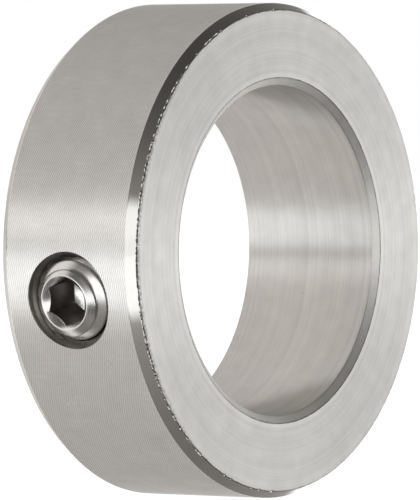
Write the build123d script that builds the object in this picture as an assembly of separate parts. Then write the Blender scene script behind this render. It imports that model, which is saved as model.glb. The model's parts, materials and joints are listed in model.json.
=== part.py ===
from build123d import *
import math
import os

# One-piece set screw shaft collar for a 1 1/2 inch shaft, in stainless steel.
# Frame: the origin is the centre of the bore, half way along its length.
# +X runs along the bore to the front face and +Z is up. The collar stands on its rim,
# with its set screw on the -Y side, a little below the horizontal.
# All lengths are in mm and all angles in degrees.

# ---- collar ----
shaft_diameter = 38.1
bore_clearance = 0.025
outer_diameter = 57.15
collar_width = 19.05
outer_chamfer_axial = 1.12
outer_chamfer_radial = 0.80
bore_chamfer_axial = 0.56
bore_chamfer_radial = 0.875

# ---- set screw, 3/8-16 UNC with a hexagon socket and a cup point ----
screw_diameter = 9.525
screw_length = 9.525
thread_pitch = 1.5875
thread_flank_angle = 30.0
thread_depth_per_pitch = 0.6134
thread_crest_per_pitch = 0.125
thread_start_below_end = 0.995
groove_overshoot = 0.3
hex_across_flats = 4.7625
hex_depth = 5.2
hex_turn = -6.5
socket_lip = 0.33
socket_land = 0.12
socket_floor_depth = 0.9
cup_diameter = 4.75
cup_depth = 1.4

# ---- how the screw sits in the collar ----
screw_below_horizontal = 11.0
tip_gap = 0.695
thread_clearance = 0.05
mouth_margin = 0.755
mouth_wall = 0.20
hole_groove_depth = 0.42
hole_groove_crest_per_pitch = 0.25

# ---- worked out from the values above ----
bore_radius = shaft_diameter / 2 + bore_clearance
outer_radius = outer_diameter / 2
half_width = collar_width / 2
screw_radius = screw_diameter / 2
hole_radius = screw_radius + thread_clearance
mouth_radius = hole_radius + mouth_margin
mouth_floor = math.sqrt(outer_radius**2 - mouth_radius**2) - mouth_wall
hex_corner_radius = hex_across_flats / math.sqrt(3)
socket_rim_radius = hex_corner_radius + socket_lip
tip_height = bore_radius + tip_gap

# Height along the screw's line is counted from the bore's axis. On this line's own frame
# +Z points outwards, +X runs along the bore and +Y is close to straight up.
screw_outwards = (
    0,
    -math.cos(math.radians(screw_below_horizontal)),
    -math.sin(math.radians(screw_below_horizontal)),
)
screw_line = Plane(origin=(0, 0, 0), x_dir=(1, 0, 0), z_dir=screw_outwards)
# The middle of the thread groove is at this height where it passes the +X side.
thread_phase_height = tip_height + screw_length - thread_start_below_end


def turned(outline):
    """A solid of revolution about Z from its closed half outline of (radius, height) points."""
    return revolve(Plane.XZ * make_face(Polyline(outline, close=True)), Axis.Z)


def thread_grooves(root_radius, crest_radius, crest_width, low, high):
    """What a right-hand thread takes away, as one-turn pieces stacked from low to past high.

    The section is a V with a flat root, widest at crest_radius. Past crest_radius it keeps
    that width, so that neighbouring turns never meet.
    """
    reach = crest_radius - root_radius
    root_width = crest_width - 2 * abs(reach) * math.tan(math.radians(thread_flank_angle))
    far = reach + math.copysign(groove_overshoot, reach)
    outline = Polyline(
        (0, -root_width / 2),
        (reach, -crest_width / 2),
        (far, -crest_width / 2),
        (far, crest_width / 2),
        (reach, crest_width / 2),
        (0, root_width / 2),
        close=True,
    )
    path = Helix(thread_pitch, thread_pitch, root_radius, center=(0, 0, low))
    across = Plane(origin=path @ 0, x_dir=(1, 0, 0), z_dir=path % 0)
    one_turn = sweep(across * make_face(outline), path=path, is_frenet=True)
    start_angle = 360 * (low - thread_phase_height) / thread_pitch
    turns = math.ceil((high - low) / thread_pitch)
    return [Pos(Z=turn * thread_pitch) * Rot(Z=start_angle) * one_turn for turn in range(turns)]


def ring():
    """The turned ring about Z, chamfered at both ends of the rim and of the bore."""
    outline = [
        (bore_radius, half_width - bore_chamfer_axial),
        (bore_radius + bore_chamfer_radial, half_width),
        (outer_radius - outer_chamfer_radial, half_width),
        (outer_radius, half_width - outer_chamfer_axial),
    ]
    mirrored = [(radius, -height) for radius, height in reversed(outline)]
    return turned(outline + mirrored)


def screw_hole():
    """What is cut from the collar along the screw's line: the thread, then the hole itself."""
    above = outer_radius + mouth_margin
    hole = turned(
        [
            (0, 0),
            (hole_radius, 0),
            (hole_radius, mouth_floor - mouth_margin),
            (mouth_radius, mouth_floor),
            (mouth_radius, above),
            (0, above),
        ]
    )
    grooves = thread_grooves(
        root_radius=hole_radius + hole_groove_depth,
        crest_radius=hole_radius,
        crest_width=thread_pitch * (1 - hole_groove_crest_per_pitch),
        low=bore_radius - thread_pitch,
        high=mouth_floor,
    )
    return grooves + [hole]


def collar_body():
    body = Rot(Y=90) * ring()
    for cut in screw_hole():
        body -= screw_line.location * cut
    return body


def screw_socket(end):
    """What is cut from the screw's outer end: hexagon, countersink and drill point."""
    floor = end - hex_depth
    flats = RegularPolygon(hex_corner_radius, 6, rotation=30 + hex_turn)
    hexagon = extrude(Plane.XY.offset(floor) * flats, hex_depth)
    countersink = turned([(0, end - socket_rim_radius), (socket_rim_radius, end), (0, end)])
    drill_point = turned(
        [(0, floor - socket_floor_depth), (hex_across_flats / 2, floor), (0, floor)]
    )
    return [hexagon, countersink, drill_point]


def set_screw():
    """The screw along its line, with its cup point at tip_height."""
    end = tip_height + screw_length
    cup_radius = cup_diameter / 2
    land_radius = socket_rim_radius + socket_land
    screw = turned(
        [
            (0, tip_height + cup_depth),
            (cup_radius, tip_height),
            (screw_radius, tip_height + screw_radius - cup_radius),
            (screw_radius, end - (screw_radius - land_radius)),
            (land_radius, end),
            (0, end),
        ]
    )
    grooves = thread_grooves(
        root_radius=screw_radius - thread_depth_per_pitch * thread_pitch,
        crest_radius=screw_radius,
        crest_width=thread_pitch * (1 - thread_crest_per_pitch),
        low=tip_height,
        high=end + thread_pitch / 2,
    )
    for cut in grooves + screw_socket(end):
        screw -= cut
    return screw_line.location * screw


os.makedirs("parts", exist_ok=True)
export_step(collar_body(), "parts/collar_body.step")
export_step(set_screw(), "parts/set_screw.step")
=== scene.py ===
import json
import math
import random

import bmesh
import bpy
from mathutils import Matrix, Vector


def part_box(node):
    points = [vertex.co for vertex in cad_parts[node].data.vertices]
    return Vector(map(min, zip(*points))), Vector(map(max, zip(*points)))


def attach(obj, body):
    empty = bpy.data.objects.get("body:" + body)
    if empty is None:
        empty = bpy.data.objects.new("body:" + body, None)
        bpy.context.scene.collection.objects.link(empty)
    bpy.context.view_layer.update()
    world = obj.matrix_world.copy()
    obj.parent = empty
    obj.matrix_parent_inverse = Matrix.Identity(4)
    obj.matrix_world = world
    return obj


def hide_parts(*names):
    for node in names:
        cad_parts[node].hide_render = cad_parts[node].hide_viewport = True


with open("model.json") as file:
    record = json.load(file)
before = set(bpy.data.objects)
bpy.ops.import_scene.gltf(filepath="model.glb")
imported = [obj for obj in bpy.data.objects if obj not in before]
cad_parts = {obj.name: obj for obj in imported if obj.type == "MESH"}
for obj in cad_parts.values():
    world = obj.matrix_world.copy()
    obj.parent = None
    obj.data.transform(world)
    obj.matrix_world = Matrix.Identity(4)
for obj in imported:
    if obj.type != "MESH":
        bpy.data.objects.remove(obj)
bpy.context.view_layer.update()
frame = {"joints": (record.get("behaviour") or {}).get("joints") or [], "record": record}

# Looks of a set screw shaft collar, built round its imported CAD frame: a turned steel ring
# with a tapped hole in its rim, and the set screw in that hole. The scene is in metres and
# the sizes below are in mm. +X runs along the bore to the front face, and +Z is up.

MM = 0.001

# ---- camera, aimed near the bore's centre from the left of the front face ----
CAMERA_AZIMUTH = 36.32
CAMERA_ELEVATION = 0.965
CAMERA_DISTANCE = 774.1 * MM
CAMERA_LENS = 479.8
CENTRE_RIGHT_OF_VIEW = 0.580 * MM
CENTRE_ABOVE_VIEW = 0.026 * MM

# ---- the collar's sizes: the overall ones come from the frame ----
COLLAR_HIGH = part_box("collar_body")[1] / MM
HALF_WIDTH = COLLAR_HIGH.x
OUTER_RADIUS = COLLAR_HIGH.z
MOUNTS = {mount["name"]: mount for mount in frame["record"]["mounts"]}
BORE_RADIUS = MOUNTS["bore"]["dims"]["r_mm"]
OUTER_CHAMFER_AXIAL = 1.12
OUTER_CHAMFER_RADIAL = 0.80
BORE_CHAMFER_AXIAL = 0.56
BORE_CHAMFER_RADIAL = 0.875
EDGE_BREAK = 0.08

# ---- the set screw's sizes: its line comes from its joint ----
SCREW_JOINT = next(joint for joint in frame["joints"] if joint["name"] == "screw_advance")
SCREW_OUTWARDS = -Vector(SCREW_JOINT["axis"]).normalized()
SCREW_RADIUS = 4.7625
SCREW_LENGTH = 9.525
THREAD_PITCH = 1.5875
THREAD_DEPTH = 0.6134 * THREAD_PITCH
THREAD_FLANK = math.tan(math.radians(30))
THREAD_CREST = 0.125 * THREAD_PITCH
THREAD_START_BELOW_END = 0.995
TIP_GAP = 0.695
TIP_HEIGHT = BORE_RADIUS + TIP_GAP
END_HEIGHT = TIP_HEIGHT + SCREW_LENGTH
HEX_HALF_FLATS = 4.7625 / 2
HEX_CORNER_RADIUS = HEX_HALF_FLATS / math.cos(math.radians(30))
HEX_DEPTH = 5.2
HEX_TURN = -6.5
FIRST_CORNER = math.radians(30 + HEX_TURN)
SOCKET_RIM = HEX_CORNER_RADIUS + 0.33
SOCKET_LAND = SOCKET_RIM + 0.12
SOCKET_FLOOR_CONE = 0.9
CUP_RADIUS = 2.375
CUP_DEPTH = 1.4

# ---- the screw's hole ----
HOLE_RADIUS = SCREW_RADIUS + 0.05
HOLE_GROOVE = 0.42
HOLE_GROOVE_CREST = 0.25 * THREAD_PITCH
MOUTH_RADIUS = HOLE_RADIUS + 0.755
MOUTH_WALL = 0.20
MOUTH_FLOOR = math.sqrt(OUTER_RADIUS**2 - MOUTH_RADIUS**2) - MOUTH_WALL

# On the screw's own axes +Z points outwards along the screw and +X along the bore.
SCREW_AXES = Matrix(
    (Vector((1, 0, 0)), SCREW_OUTWARDS.cross(Vector((1, 0, 0))), SCREW_OUTWARDS)
).transposed().to_4x4()


# ---------------------------------------------------------------- mesh helpers

EDGE_STEPS = 4
EDGE_GUARD = 0.08
GUARD_ROWS = 2


def soft_min(a, b, blend):
    """The smaller of two lengths, with the corner between them rounded over blend."""
    near = max(blend - abs(a - b), 0) / blend
    return min(a, b) - near * near * blend / 4


def soft_max(a, b, blend):
    return -soft_min(-a, -b, blend)


def rounded_loop(corners):
    """A closed outline with each corner rounded over the edge break, and guard points on
    each side that keep what happens at a corner near it.

    Each corner is (x, r, material of the run after it, material of its own rounding).
    Gives the points and, for each, the material from it to the next.
    """
    points, materials = [], []
    for i, (x, r, run, edge) in enumerate(corners):
        here = Vector((x, r))
        before = (Vector(corners[i - 1][:2]) - here).normalized()
        after = (Vector(corners[(i + 1) % len(corners)][:2]) - here).normalized()
        start, end = here + before * EDGE_BREAK, here + after * EDGE_BREAK
        for guard in range(GUARD_ROWS, 0, -1):
            points.append(here + before * (EDGE_BREAK + EDGE_GUARD * guard))
            materials.append(corners[i - 1][2])
        for step in range(EDGE_STEPS + 1):
            t = step / EDGE_STEPS
            points.append(start * (1 - t) ** 2 + here * 2 * t * (1 - t) + end * t * t)
            materials.append(edge if step < EDGE_STEPS else run)
        for guard in range(1, GUARD_ROWS + 1):
            points.append(here + after * (EDGE_BREAK + EDGE_GUARD * guard))
            materials.append(run)
    return points, materials


def new_piece(name, build, materials, matrix=Matrix.Identity(4)):
    """An object from a bmesh that build fills in millimetres."""
    mesh = bpy.data.meshes.new(name)
    bm = bmesh.new()
    build(bm)
    bmesh.ops.scale(bm, vec=(MM, MM, MM), verts=bm.verts)
    bmesh.ops.recalc_face_normals(bm, faces=bm.faces)
    bm.to_mesh(mesh)
    bm.free()
    for material in materials:
        mesh.materials.append(material)
    piece = bpy.data.objects.new(name, mesh)
    piece.matrix_world = matrix
    bpy.context.scene.collection.objects.link(piece)
    return piece


def shade(piece, sharp_degrees):
    """Smooth shading, but for corners sharper than sharp_degrees."""
    piece.data.polygons.foreach_set("use_smooth", [True] * len(piece.data.polygons))
    piece.data.set_sharp_from_angle(angle=math.radians(sharp_degrees))


def skin(bm, rows, materials, closed=False):
    """Quads between rows of points, each row a closed ring, with a material for each gap."""
    rings = [[bm.verts.new(p) for p in row] for row in rows]
    pairs = list(zip(rings, rings[1:] + rings[:1])) if closed else list(zip(rings, rings[1:]))
    for (lower, upper), material in zip(pairs, materials):
        for i in range(len(lower)):
            j = (i + 1) % len(lower)
            face = bm.faces.new((lower[i], lower[j], upper[j], upper[i]))
            face.material_index = material
    return rings


def cap(bm, ring, centre, material):
    """A fan that closes a ring on one centre point."""
    tip = bm.verts.new(centre)
    for i in range(len(ring)):
        face = bm.faces.new((ring[i], ring[(i + 1) % len(ring)], tip))
        face.material_index = material


# ---------------------------------------------------------------- node helpers


class Nodes:
    """A short way to write a material's or the world's nodes."""

    def __init__(self, tree):
        self.tree = tree

    def add(self, kind, inputs=None, **settings):
        node = self.tree.nodes.new(kind)
        for key, value in settings.items():
            setattr(node, key, value)
        for key, value in (inputs or {}).items():
            self.put(node, key, value)
        return node

    def put(self, node, key, value):
        """A value or a link on one of a node's inputs."""
        if isinstance(value, bpy.types.NodeSocket):
            self.tree.links.new(value, node.inputs[key])
        else:
            node.inputs[key].default_value = value

    def math(self, operation, *values):
        return self.add("ShaderNodeMath", dict(enumerate(values)), operation=operation).outputs[0]

    def dot(self, vector, direction):
        inputs = {0: vector, 1: direction}
        return self.add("ShaderNodeVectorMath", inputs, operation="DOT_PRODUCT").outputs["Value"]

    def noise(self, vector, scale, detail=2.0):
        inputs = {"Vector": vector, "Scale": scale, "Detail": detail}
        return self.add("ShaderNodeTexNoise", inputs).outputs["Fac"]

    def lines(self, distance, scale, detail=2.0):
        """Noise that varies along one distance only, which draws parallel lines."""
        inputs = {"W": distance, "Scale": scale, "Detail": detail}
        return self.add("ShaderNodeTexNoise", inputs, noise_dimensions="1D").outputs["Fac"]

    def blend(self, factor, low, high):
        """A number from low to high as factor goes from 0 to 1."""
        inputs = {"Value": factor, "To Min": low, "To Max": high}
        return self.add("ShaderNodeMapRange", inputs).outputs["Result"]

    def step(self, value, low, high, kind="SMOOTHSTEP"):
        """0 to 1 as value goes from low to high."""
        inputs = {"Value": value, "From Min": low, "From Max": high}
        return self.add("ShaderNodeMapRange", inputs, interpolation_type=kind).outputs["Result"]

    def mix(self, factor, low, high):
        """A colour from low to high as factor goes from 0 to 1."""
        inputs = {"Factor": factor, 6: low, 7: high}
        return self.add("ShaderNodeMix", inputs, data_type="RGBA").outputs[2]

    def ramp(self, factor, stops):
        node = self.add("ShaderNodeValToRGB", {"Fac": factor})
        elements = node.color_ramp.elements
        while len(elements) < len(stops):
            elements.new(0.5)
        for element, (position, colour) in zip(elements, stops):
            element.position = position
            element.color = (*colour, 1)
        return node.outputs["Color"]

    def bump(self, height, distance):
        inputs = {"Strength": 1.0, "Distance": distance * MM, "Height": height}
        return self.add("ShaderNodeBump", inputs).outputs["Normal"]


# ------------------------------------------------------------------- materials

# Scales of noise and of lines count in a metre, and lengths are in mm.
FEED = 0.30
CHATTER_WAVES = 200
SLANTED_SHARE = 0.65
DRIFT = 0.4
DRIFT_SCALE = 90
BROAD_LINES = 900
BROAD_HEIGHT = 0.8
CLOUD_SCALE = 450
CLOUD_DETAIL = 8
HATCH_TONE = 0.2
DARKEST_TONE = 0.3
LIGHTEST_TONE = 0.7
PIT_SPACING = 3.0
PIT_RADIUS = 0.06
PIT_CELLS_LEFT_CLEAR = 0.6
PIT_TONE = 0.35
# Painted highlight: a bright ring on the face beside the bore's chamfer.
HIGHLIGHT_RING_WIDTH = 0.45
HIGHLIGHT_RING_FADE = 0.15
HIGHLIGHT_RING_STRENGTH = 0.30
HIGHLIGHT_RING_COLOUR = (0.95, 0.95, 0.93, 1)
WORN_WIDTH = 0.8
WORN_FROM_SIDE = -16
WORN_FULL_SIDE = -26
WORN_SCALE = 2500
WORN_PATCHES = (0.38, 0.58)
WORN_STRENGTH = 0.85
WORN_COLOUR = (0.22, 0.21, 0.20, 1)
GRAIN_DETAIL = 4
GRAIN_ROUGHNESS_SPREAD = 0.2
SCREW_LINES = 5000
SCREW_LINE_HEIGHT = 1.5


def metal(name, roughness, anisotropy):
    """An empty metal material, its node writer and its shader."""
    material = bpy.data.materials.new(name)
    material.use_nodes = True
    nodes = Nodes(material.node_tree)
    shader = material.node_tree.nodes["Principled BSDF"]
    shader.inputs["Metallic"].default_value = 1
    shader.inputs["Roughness"].default_value = roughness
    shader.inputs["Anisotropic"].default_value = anisotropy
    shader.inputs["Anisotropic Rotation"].default_value = 0.25
    return material, nodes, shader


def tinted(nodes, tone, colour, worn):
    """The colour, as much as worn darker or lighter with the tone."""
    low = [c * (1 - worn) for c in colour]
    high = [min(1, c * (1 + worn)) for c in colour]
    return nodes.ramp(tone, [(DARKEST_TONE, low), (LIGHTEST_TONE, high)])


def distance_from_axis(nodes, parts):
    squares = [nodes.math("MULTIPLY", parts[i], parts[i]) for i in (1, 2)]
    return nodes.math("SQRT", nodes.math("ADD", *squares))


def feed_marks(nodes, distance, parts):
    """The tool's feed marks and the slanted marks of its chatter, from -1 to 1."""
    angle = nodes.math("ARCTAN2", parts[2], parts[1])
    along = nodes.math("MULTIPLY", distance, math.tau / (FEED * MM))
    slanted = nodes.math("SINE", nodes.math("MULTIPLY_ADD", angle, CHATTER_WAVES, along))
    straight = nodes.math("MULTIPLY", nodes.math("SINE", along), 1 - SLANTED_SHARE)
    return nodes.math("MULTIPLY_ADD", slanted, SLANTED_SHARE, straight)


def pits(nodes, place):
    """1 in a few tiny pits scattered over a surface, 0 elsewhere."""
    cells = nodes.add("ShaderNodeTexVoronoi", {"Vector": place, "Scale": 1 / (PIT_SPACING * MM)})
    near = nodes.math("LESS_THAN", cells.outputs["Distance"], PIT_RADIUS / PIT_SPACING)
    chance = nodes.add("ShaderNodeSeparateColor", {0: cells.outputs["Color"]}).outputs[0]
    chosen = nodes.math("GREATER_THAN", chance, PIT_CELLS_LEFT_CLEAR)
    return nodes.math("MULTIPLY", near, chosen)


def painted_highlight_ring(nodes, steel, distance):
    """Paints a highlight: brightens a narrow ring of the face beside the bore's chamfer."""
    foot = BORE_RADIUS + BORE_CHAMFER_RADIAL + HIGHLIGHT_RING_WIDTH
    beside_bore = nodes.step(distance, (foot + HIGHLIGHT_RING_FADE) * MM, foot * MM)
    factor = nodes.math("MULTIPLY", beside_bore, HIGHLIGHT_RING_STRENGTH)
    return nodes.mix(factor, steel, HIGHLIGHT_RING_COLOUR)


def worn_strip(nodes, steel, place, parts, distance):
    """Darkens a ragged strip beside the outer edge, on the side that has been knocked."""
    edge = OUTER_RADIUS - OUTER_CHAMFER_RADIAL
    patches = nodes.noise(place, WORN_SCALE, GRAIN_DETAIL)
    mask = nodes.step(patches, *WORN_PATCHES, kind="LINEAR")
    beside_edge = nodes.step(distance, (edge - WORN_WIDTH) * MM, edge * MM)
    knocked_side = nodes.step(parts[1], WORN_FROM_SIDE * MM, WORN_FULL_SIDE * MM)
    for part in (beside_edge, knocked_side):
        mask = nodes.math("MULTIPLY", mask, part)
    return nodes.mix(nodes.math("MULTIPLY", mask, WORN_STRENGTH), steel, WORN_COLOUR)


def turned_metal(
    name, colour, rough, anisotropy, across, line_height, lines=9000, hatch=0.0, streaks=0.0, worn=0.10
):
    """Steel with fine turning lines round the bore's axis.

    rough is the roughness of its smoothest and of its roughest lines. across is "axis"
    where the lines are spaced along the bore, as on the rim, and "radius" where they are
    spaced outwards, as on a face. lines is how many there are in a metre, hatch is how
    plainly the feed marks show, streaks how plainly the broad lines do, and worn how far
    the colour varies.
    """
    material, nodes, shader = metal(name, rough[0], anisotropy)
    place = nodes.add("ShaderNodeTexCoord").outputs["Object"]
    parts = nodes.add("ShaderNodeSeparateXYZ", {0: place}).outputs
    distance = parts[0] if across == "axis" else distance_from_axis(nodes, parts)
    drift = nodes.math("MULTIPLY", nodes.noise(place, DRIFT_SCALE), DRIFT * MM)
    drifted = nodes.math("ADD", distance, drift)
    fine = nodes.lines(drifted, lines, 3)
    broad = nodes.lines(drifted, BROAD_LINES, 1)
    marks = feed_marks(nodes, distance, parts)
    height = nodes.math("ADD", fine, nodes.math("MULTIPLY", broad, BROAD_HEIGHT))
    height = nodes.math("MULTIPLY_ADD", marks, hatch, height)
    cloud = nodes.noise(place, CLOUD_SCALE, CLOUD_DETAIL)
    tone = nodes.math("MULTIPLY_ADD", cloud, 0.5, nodes.math("MULTIPLY", fine, 0.5))
    tone = nodes.math("MULTIPLY_ADD", marks, hatch * HATCH_TONE, tone)
    tone = nodes.math("MULTIPLY_ADD", nodes.math("SUBTRACT", broad, 0.5), streaks, tone)
    steel = tinted(nodes, tone, colour, worn)
    if across == "radius":
        # Painted highlight: a bright ring beside the bore's chamfer.
        steel = painted_highlight_ring(nodes, steel, distance)
        steel = worn_strip(nodes, steel, place, parts, distance)
    pitted = [c * PIT_TONE for c in colour]
    steel = nodes.mix(pits(nodes, place), steel, (*pitted, 1))
    nodes.put(shader, "Base Color", steel)
    nodes.put(shader, "Roughness", nodes.blend(fine, *rough))
    nodes.put(shader, "Normal", nodes.bump(height, line_height))
    tangent = nodes.add("ShaderNodeTangent", direction_type="RADIAL", axis="X")
    nodes.put(shader, "Tangent", tangent.outputs[0])
    return material


def plain_metal(name, colour, roughness, grain, grain_height, worn=0.15, ringed=False):
    """Steel with an even fine grain, as in a cut hole. ringed adds lines round the screw."""
    material, nodes, shader = metal(name, roughness, 0)
    place = nodes.add("ShaderNodeTexCoord").outputs["Object"]
    fine = nodes.noise(place, grain, GRAIN_DETAIL)
    cloud = nodes.noise(place, grain / 3, 3)
    height = fine
    if ringed:
        rings = nodes.lines(nodes.dot(place, SCREW_OUTWARDS), SCREW_LINES, 2)
        height = nodes.math("MULTIPLY_ADD", rings, SCREW_LINE_HEIGHT, fine)
    smoothest = roughness * (1 - GRAIN_ROUGHNESS_SPREAD)
    roughest = roughness * (1 + GRAIN_ROUGHNESS_SPREAD)
    nodes.put(shader, "Base Color", tinted(nodes, cloud, colour, worn))
    nodes.put(shader, "Roughness", nodes.blend(fine, smoothest, roughest))
    nodes.put(shader, "Normal", nodes.bump(height, grain_height))
    return material


STEEL = (0.79, 0.783, 0.762)
FACED = (0.735, 0.728, 0.705)
DULL = (0.66, 0.65, 0.625)
INSIDE = (0.69, 0.68, 0.66)
RIM = turned_metal("turned_rim", STEEL, (0.32, 0.44), 0.96, "axis", 0.0015, hatch=2.2, worn=0.14)
FACE = turned_metal(
    "turned_face", FACED, (0.54, 0.66), 0.60, "radius", 0.003, lines=3500, hatch=0.1, streaks=0.35
)
CHAMFER = turned_metal("turned_chamfer", DULL, (0.07, 0.13), 0.5, "axis", 0.0002, worn=0.05)
BORE = turned_metal(
    "turned_bore", INSIDE, (0.28, 0.40), 0.90, "axis", 0.0015, lines=5000, hatch=0.2, streaks=0.5
)
SOFT_CHAMFER = turned_metal("soft_chamfer", DULL, (0.45, 0.60), 0.6, "axis", 0.0005)
# Painted shade: the rounded edges between the faces and their chamfers are made dark steel, for the
# dark lines along them.
EDGE = plain_metal("edge_painted_shade", (0.24, 0.23, 0.22), 0.35, 4000, 0.02, worn=0.4)
HOLE = plain_metal("cut_hole", (0.22, 0.205, 0.19), 0.42, 2500, 0.01)
SCREW_STEEL = plain_metal(
    "rolled_screw", (0.76, 0.755, 0.74), 0.26, 1500, 0.004, worn=0.12, ringed=True
)
# The socket's walls: rougher broached steel, with painted shade, its colour made dark for the shade
# down in the socket.
SOCKET_PAINTED_SHADE = plain_metal("broached_socket_painted_shade", (0.20, 0.185, 0.17), 0.45, 2000, 0.008)
# Painted light: the socket's floor is the screw's steel made brighter, for the light it catches from
# outside.
SOCKET_FLOOR_PAINTED_LIGHT = plain_metal("drilled_socket_floor_painted_light", (0.88, 0.87, 0.85), 0.22, 2500, 0.01)


# ------------------------------------------------------------------ collar body

COLLAR_STEELS = [RIM, FACE, CHAMFER, BORE, SOFT_CHAMFER, HOLE, EDGE]
AT_RIM, AT_FACE, AT_CHAMFER, AT_BORE, AT_SOFT_CHAMFER, IN_HOLE, AT_EDGE = range(7)
RING_STEPS = 1440
OFF_THE_HOLE = 0.37  # of a step, so that no vertex of the ring lies in the hole's own plane
HOLE_STEPS = 240
ROWS_PER_PITCH = 16
HOLE_OVERRUN = 1.5
CUTTER_PEAK = OUTER_RADIUS + 2
GROOVE_ROUNDING = 0.05
SLIVER = 0.003
COLLAR_SHARP_DEGREES = 22

# Dents gather on the -Y side of the front outer edge. Angles are in radians.
WORN_SIDE = math.pi
FRONT_OUTER_CORNER = 2
SCATTERED_DENTS = dict(seed=11, count=90, centre=WORN_SIDE, spread=1.2, deepest=0.09)
KNOCKED_DENTS = dict(seed=7, count=170, centre=WORN_SIDE, spread=0.40, deepest=0.17)
DEEP_NICKS = dict(seed=5, count=6, centre=WORN_SIDE - 1.05, spread=0.03, deepest=0.25)
DENT_REACHES = (0, 1, 1, 2, 4)
SHALLOWEST_DENT = 0.3
DENT_SLANT = 0.7


def dents(seed, count, centre, spread, deepest):
    """Depths of small dents round an edge, one for each step, gathered round one angle."""
    source = random.Random(seed)
    depths = [0.0] * RING_STEPS
    for _ in range(count):
        middle = source.gauss(centre, spread) / math.tau * RING_STEPS
        reach = source.choice(DENT_REACHES)
        depth = source.uniform(SHALLOWEST_DENT, 1.0) * deepest
        for step in range(-reach, reach + 1):
            at = int(middle + step) % RING_STEPS
            depths[at] = max(depths[at], depth * (1 - abs(step) / (reach + 1)))
    return depths


def ring_outline():
    """The ring's section as (x, r) points with their materials: front half, then rear half."""
    front = [
        (HALF_WIDTH - BORE_CHAMFER_AXIAL, BORE_RADIUS, AT_SOFT_CHAMFER, AT_SOFT_CHAMFER),
        (HALF_WIDTH, BORE_RADIUS + BORE_CHAMFER_RADIAL, AT_FACE, AT_EDGE),
        (HALF_WIDTH, OUTER_RADIUS - OUTER_CHAMFER_RADIAL, AT_CHAMFER, AT_EDGE),
        (HALF_WIDTH - OUTER_CHAMFER_AXIAL, OUTER_RADIUS, AT_RIM, AT_CHAMFER),
    ]
    rear_runs = [AT_SOFT_CHAMFER, AT_FACE, AT_SOFT_CHAMFER, AT_BORE]
    rear = [(-x, r, run, edge) for (x, r, _, edge), run in zip(reversed(front), rear_runs)]
    return rounded_loop(front + rear)


def build_ring(bm):
    """The turned ring, with rounded edges and a dented front outer edge."""
    points, materials = ring_outline()
    wear = [max(depths) for depths in zip(
        dents(**SCATTERED_DENTS), dents(**KNOCKED_DENTS), dents(**DEEP_NICKS)
    )]
    rows = []
    for place, (x, r) in enumerate(points):
        corner, step = divmod(place, EDGE_STEPS + 1 + 2 * GUARD_ROWS)
        on_edge = GUARD_ROWS <= step <= GUARD_ROWS + EDGE_STEPS
        dented = corner == FRONT_OUTER_CORNER and on_edge
        row = []
        for i in range(RING_STEPS):
            angle = math.tau * (i + OFF_THE_HOLE) / RING_STEPS
            depth = wear[i] * DENT_SLANT if dented else 0
            row.append(
                (x - depth, (r - depth) * math.cos(angle), (r - depth) * math.sin(angle))
            )
        rows.append(row)
    skin(bm, rows, materials, closed=True)


def hole_surface(angle, height):
    """Radius of the tapped hole at an angle round the screw's line and a height along it."""
    turn = height - (END_HEIGHT - THREAD_START_BELOW_END) - THREAD_PITCH * angle / math.tau
    off = abs((turn / THREAD_PITCH + 0.5) % 1 - 0.5) * THREAD_PITCH
    half_width = (THREAD_PITCH - HOLE_GROOVE_CREST) / 2
    groove = min(HOLE_GROOVE, (half_width - off) / THREAD_FLANK)
    return HOLE_RADIUS + soft_max(groove, 0, GROOVE_ROUNDING)


def hole_ring(radius_at, height_at):
    """One row of the hole's cutter, from its radius and height at each angle."""
    angles = [math.tau * i / HOLE_STEPS for i in range(HOLE_STEPS)]
    return [(radius_at(a) * math.cos(a), radius_at(a) * math.sin(a), height_at(a)) for a in angles]


def build_hole(bm):
    """What the tap, the counterbore and the broken edge of its mouth take out of the ring."""
    low = BORE_RADIUS - HOLE_OVERRUN
    thread_rows = int((MOUTH_FLOOR - low) / (THREAD_PITCH / ROWS_PER_PITCH)) + 1
    rows = []
    for k in range(thread_rows):
        height = low + (MOUTH_FLOOR - low) * k / (thread_rows - 1)
        cone = MOUTH_RADIUS - (MOUTH_FLOOR - height)
        rows.append(
            hole_ring(lambda a, h=height, c=cone: max(hole_surface(a, h), c), lambda a, h=height: h)
        )

    def rim_height(a):
        return math.sqrt(OUTER_RADIUS**2 - (MOUTH_RADIUS * math.sin(a)) ** 2)

    mouth = [(-EDGE_BREAK, 0), (0, EDGE_BREAK), (HOLE_OVERRUN, EDGE_BREAK + HOLE_OVERRUN)]
    for above, flare in mouth:
        rows.append(
            hole_ring(lambda a, f=flare: MOUTH_RADIUS + f, lambda a, h=above: rim_height(a) + h)
        )
    rings = skin(bm, rows, [IN_HOLE] * (len(rows) - 1))
    cap(bm, rings[0], (0, 0, low), IN_HOLE)
    cap(bm, rings[-1], (0, 0, CUTTER_PEAK), IN_HOLE)


def drop_slivers(mesh):
    """Merges the thinnest faces that the cut left into their neighbours."""
    bm = bmesh.new()
    bm.from_mesh(mesh)
    bmesh.ops.triangulate(bm, faces=bm.faces)
    bmesh.ops.remove_doubles(bm, verts=bm.verts, dist=SLIVER * MM)
    bmesh.ops.dissolve_degenerate(bm, dist=SLIVER * MM, edges=bm.edges)
    bmesh.ops.triangulate(bm, faces=bm.faces)
    bm.to_mesh(mesh)
    bm.free()


def cut_away(piece, cutter):
    """Takes the cutter's shape out of the piece, and deletes the cutter."""
    cut = piece.modifiers.new("cut", "BOOLEAN")
    cut.operation = "DIFFERENCE"
    cut.solver = "EXACT"
    cut.object = cutter
    bpy.context.view_layer.update()
    depsgraph = bpy.context.evaluated_depsgraph_get()
    mesh = bpy.data.meshes.new_from_object(piece.evaluated_get(depsgraph))
    piece.modifiers.clear()
    drop_slivers(mesh)
    piece.data = mesh
    bpy.data.objects.remove(cutter)


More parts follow.
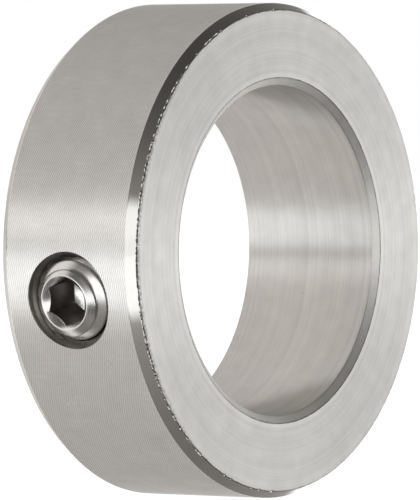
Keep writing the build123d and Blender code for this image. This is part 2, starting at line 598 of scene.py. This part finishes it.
def make_collar():
    collar = new_piece("collar_ring", build_ring, COLLAR_STEELS)
    cut_away(collar, new_piece("hole_cutter", build_hole, COLLAR_STEELS, SCREW_AXES))
    shade(collar, COLLAR_SHARP_DEGREES)
    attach(collar, "collar")
    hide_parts("collar_body")


# -------------------------------------------------------------------- set screw

SCREW_STEELS = [SCREW_STEEL, SOCKET_PAINTED_SHADE, SOCKET_FLOOR_PAINTED_LIGHT]
OUTSIDE, IN_SOCKET, ON_FLOOR = range(3)
SCREW_STEPS = 360
SCREW_ROWS = 200
ROOT_ROUNDING = 0.25
CREST_ROUNDING = 0.15
END_ROUNDING = 0.35
TIP_ROUNDING = 0.20
RIM_ROUNDING = 0.12
RIM_STEPS = 6
SOCKET_EDGE_ABOVE = 0.02
SOCKET_EDGE_BELOW = 0.03
FLOOR_RINGS = 8
SCREW_SHARP_DEGREES = 30


def screw_surface(angle, height):
    """Radius of the threaded screw at an angle round its line and a height above its tip."""
    turn = height - (SCREW_LENGTH - THREAD_START_BELOW_END) - THREAD_PITCH * angle / math.tau
    off = abs((turn / THREAD_PITCH + 0.5) % 1 - 0.5) * THREAD_PITCH
    crest_half = (THREAD_PITCH - THREAD_CREST) / 2
    flank = SCREW_RADIUS - (crest_half - off) / THREAD_FLANK
    thread = soft_max(flank, SCREW_RADIUS - THREAD_DEPTH, ROOT_ROUNDING)
    thread = soft_min(thread, SCREW_RADIUS, CREST_ROUNDING)
    end_cone = SOCKET_LAND + (SCREW_LENGTH - height)
    tip_cone = CUP_RADIUS + height
    return soft_min(soft_min(thread, end_cone, END_ROUNDING), tip_cone, TIP_ROUNDING)


def hex_radius(angle):
    """Distance from the screw's line to the side of the hexagon at an angle."""
    off_middle = (angle - FIRST_CORNER) % (math.pi / 3) - math.pi / 6
    return HEX_HALF_FLATS / math.cos(off_middle)


def countersink(angle):
    """Height at which the cone round the socket meets the side of the hexagon."""
    return SCREW_LENGTH - (SOCKET_RIM - hex_radius(angle))


def screw_ring(radius_at, height_at):
    """One row of the screw, from its radius and height at each angle."""
    angles = [FIRST_CORNER + math.tau * i / SCREW_STEPS for i in range(SCREW_STEPS)]
    return [(radius_at(a) * math.cos(a), radius_at(a) * math.sin(a), height_at(a)) for a in angles]


def level_ring(radius, height):
    return screw_ring(lambda a: radius, lambda a: height)


def threaded_rows():
    """From the edge of the cup point up to the foot of the rounded rim."""
    rim_foot = SCREW_LENGTH - RIM_ROUNDING * (1 - math.sqrt(0.5))
    rows = []
    for k in range(SCREW_ROWS):
        height = rim_foot * k / SCREW_ROWS
        rows.append(screw_ring(lambda a, h=height: screw_surface(a, h), lambda a, h=height: h))
    return rows


def rim_rows():
    """Over the rounded rim between the end cone and the countersink."""
    rim_middle = (SOCKET_RIM + SOCKET_LAND) / 2
    rows = []
    for k in range(RIM_STEPS + 1):
        lean = math.radians(45 - 90 * k / RIM_STEPS)
        radius = rim_middle + RIM_ROUNDING * math.sin(lean)
        height = SCREW_LENGTH - RIM_ROUNDING * (1 - math.cos(lean))
        rows.append(level_ring(radius, height))
    return rows


def socket_rows(floor):
    """The rounded top edge of the hexagon, and the foot of its sides."""
    return [
        screw_ring(
            lambda a: hex_radius(a) + SOCKET_EDGE_ABOVE, lambda a: countersink(a) + SOCKET_EDGE_ABOVE
        ),
        screw_ring(hex_radius, lambda a: countersink(a) - SOCKET_EDGE_BELOW),
        screw_ring(hex_radius, lambda a: floor),
    ]


def build_screw(bm):
    """The screw about its own line, tip at zero: cup point, thread, end cone and socket."""
    floor = SCREW_LENGTH - HEX_DEPTH
    rows = threaded_rows() + rim_rows() + socket_rows(floor)
    gaps = [OUTSIDE] * (len(rows) - 2) + [IN_SOCKET]
    for k in range(1, FLOOR_RINGS):
        radius = HEX_HALF_FLATS * (1 - k / FLOOR_RINGS)
        height = floor - SOCKET_FLOOR_CONE * k / FLOOR_RINGS
        rows.append(level_ring(radius, height))
        gaps.append(ON_FLOOR)
    rings = skin(bm, rows, gaps)
    cap(bm, rings[-1], (0, 0, floor - SOCKET_FLOOR_CONE), ON_FLOOR)
    cap(bm, rings[0], (0, 0, CUP_DEPTH), OUTSIDE)


def make_screw():
    screw = new_piece("socket_set_screw", build_screw, SCREW_STEELS)
    screw.data.transform(SCREW_AXES @ Matrix.Translation((0, 0, TIP_HEIGHT * MM)))
    shade(screw, SCREW_SHARP_DEGREES)
    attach(screw, "screw")
    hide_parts("set_screw")


# ------------------------------------------------------- studio: world and floor

# Brightness of the studio by direction, as (height of the direction, level) from straight
# down at -1 to straight up at 1: to the camera's right, round the camera, and from the
# camera's left to behind the collar.
TO_RIGHT = [
    (-0.98, 0.06),
    (-0.36, 0.12),
    (-0.28, 1.50),
    (0.16, 1.45),
    (0.24, 0.22),
    (0.98, 0.12),
]
ROUND_CAMERA = [
    (-1.00, 0.20),
    (-0.60, 0.34),
    (-0.46, 0.42),
    (-0.38, 1.55),
    (-0.05, 1.55),
    (-0.02, 1.30),
    (0.08, 1.30),
    (0.11, 1.40),
    (0.28, 1.40),
    (0.36, 0.28),
    (0.72, 0.13),
    (0.98, 0.07),
]
TO_LEFT = [
    (-0.99, 0.78),
    (-0.80, 0.86),
    (-0.40, 0.84),
    (-0.37, 1.22),
    (-0.04, 1.22),
    (-0.01, 0.50),
    (0.07, 0.50),
    (0.10, 0.94),
    (0.25, 0.94),
    (0.28, 0.86),
    (0.99, 0.94),
]
STUDIO_STRENGTH = 2.0
WARMTH = 0.045
AHEAD_SHARE = 0.6
RIGHT_TO_CAMERA = (-0.75, -0.55)
CAMERA_TO_LEFT = (0.30, 0.60)
FLOOR_SIZE = 6
FLOOR_GREY = (0.9, 0.9, 0.9, 1)
FLOOR_GLOW = 0.85


def studio_level(nodes, up, levels):
    """The studio's colour by height. What is dimmer than a light is slightly warm."""
    stops = []
    for height, level in levels:
        warmth = 0 if level > 1 else WARMTH
        colour = [level / STUDIO_STRENGTH * (1 + tint * warmth) for tint in (1, 0, -1)]
        stops.append((0.5 + height / 2, colour))
    return nodes.ramp(nodes.math("MULTIPLY_ADD", up, 0.5, 0.5), stops)


def make_world():
    """Soft lights at the collar's height all round, dim above and below them on the camera's
    side, and plain white where the camera looks past the collar."""
    world = bpy.data.worlds.new("studio")
    bpy.context.scene.world = world
    world.use_nodes = True
    nodes = Nodes(world.node_tree)
    direction = nodes.add("ShaderNodeTexCoord").outputs["Generated"]
    up = nodes.add("ShaderNodeSeparateXYZ", {0: direction}).outputs[2]
    azimuth = math.radians(CAMERA_AZIMUTH)
    left = nodes.dot(direction, (-math.cos(azimuth), -math.sin(azimuth), 0))
    ahead = nodes.dot(direction, (-math.sin(azimuth), math.cos(azimuth), 0))
    round_to_left = nodes.math("MULTIPLY_ADD", ahead, AHEAD_SHARE, left)
    level = nodes.mix(
        nodes.step(round_to_left, *RIGHT_TO_CAMERA),
        studio_level(nodes, up, TO_RIGHT),
        studio_level(nodes, up, ROUND_CAMERA),
    )
    level = nodes.mix(
        nodes.step(round_to_left, *CAMERA_TO_LEFT), level, studio_level(nodes, up, TO_LEFT)
    )
    lit = nodes.add("ShaderNodeBackground", {"Color": level, "Strength": STUDIO_STRENGTH})
    plain = nodes.add("ShaderNodeBackground", {"Color": (1, 1, 1, 1), "Strength": 1.0})
    seen = nodes.add("ShaderNodeLightPath").outputs["Is Camera Ray"]
    mix = nodes.add("ShaderNodeMixShader", {0: seen, 1: lit.outputs[0], 2: plain.outputs[0]})
    output = world.node_tree.nodes["World Output"]
    nodes.put(output, "Surface", mix.outputs[0])


def make_floor():
    """A plain pale floor that the collar stands on."""
    bpy.ops.mesh.primitive_plane_add(size=FLOOR_SIZE, location=(0, 0, -OUTER_RADIUS * MM))
    floor = bpy.context.object
    floor.name = "floor"
    floor.visible_glossy = False
    material = bpy.data.materials.new("pale_floor")
    material.use_nodes = True
    shader = material.node_tree.nodes["Principled BSDF"]
    shader.inputs["Base Color"].default_value = FLOOR_GREY
    shader.inputs["Roughness"].default_value = 1
    shader.inputs["Specular IOR Level"].default_value = 0
    shader.inputs["Emission Color"].default_value = (1, 1, 1, 1)
    shader.inputs["Emission Strength"].default_value = FLOOR_GLOW
    floor.data.materials.append(material)


def add_camera():
    azimuth = math.radians(CAMERA_AZIMUTH)
    elevation = math.radians(CAMERA_ELEVATION)
    right = Vector((math.cos(azimuth), math.sin(azimuth), 0))
    back = Vector(
        (
            math.sin(azimuth) * math.cos(elevation),
            -math.cos(azimuth) * math.cos(elevation),
            math.sin(elevation),
        )
    )
    up = back.cross(right)
    data = bpy.data.cameras.new("camera")
    data.lens = CAMERA_LENS
    data.clip_start = CAMERA_DISTANCE / 10
    data.clip_end = CAMERA_DISTANCE * 100
    camera = bpy.data.objects.new("camera", data)
    axes = Matrix((right, up, back)).transposed()
    place = back * CAMERA_DISTANCE - right * CENTRE_RIGHT_OF_VIEW - up * CENTRE_ABOVE_VIEW
    camera.matrix_world = Matrix.Translation(place) @ axes.to_4x4()
    bpy.context.scene.collection.objects.link(camera)
    bpy.context.scene.camera = camera


add_camera()
make_world()
make_floor()
make_collar()
make_screw()
bpy.context.scene.view_settings.view_transform = "Standard"
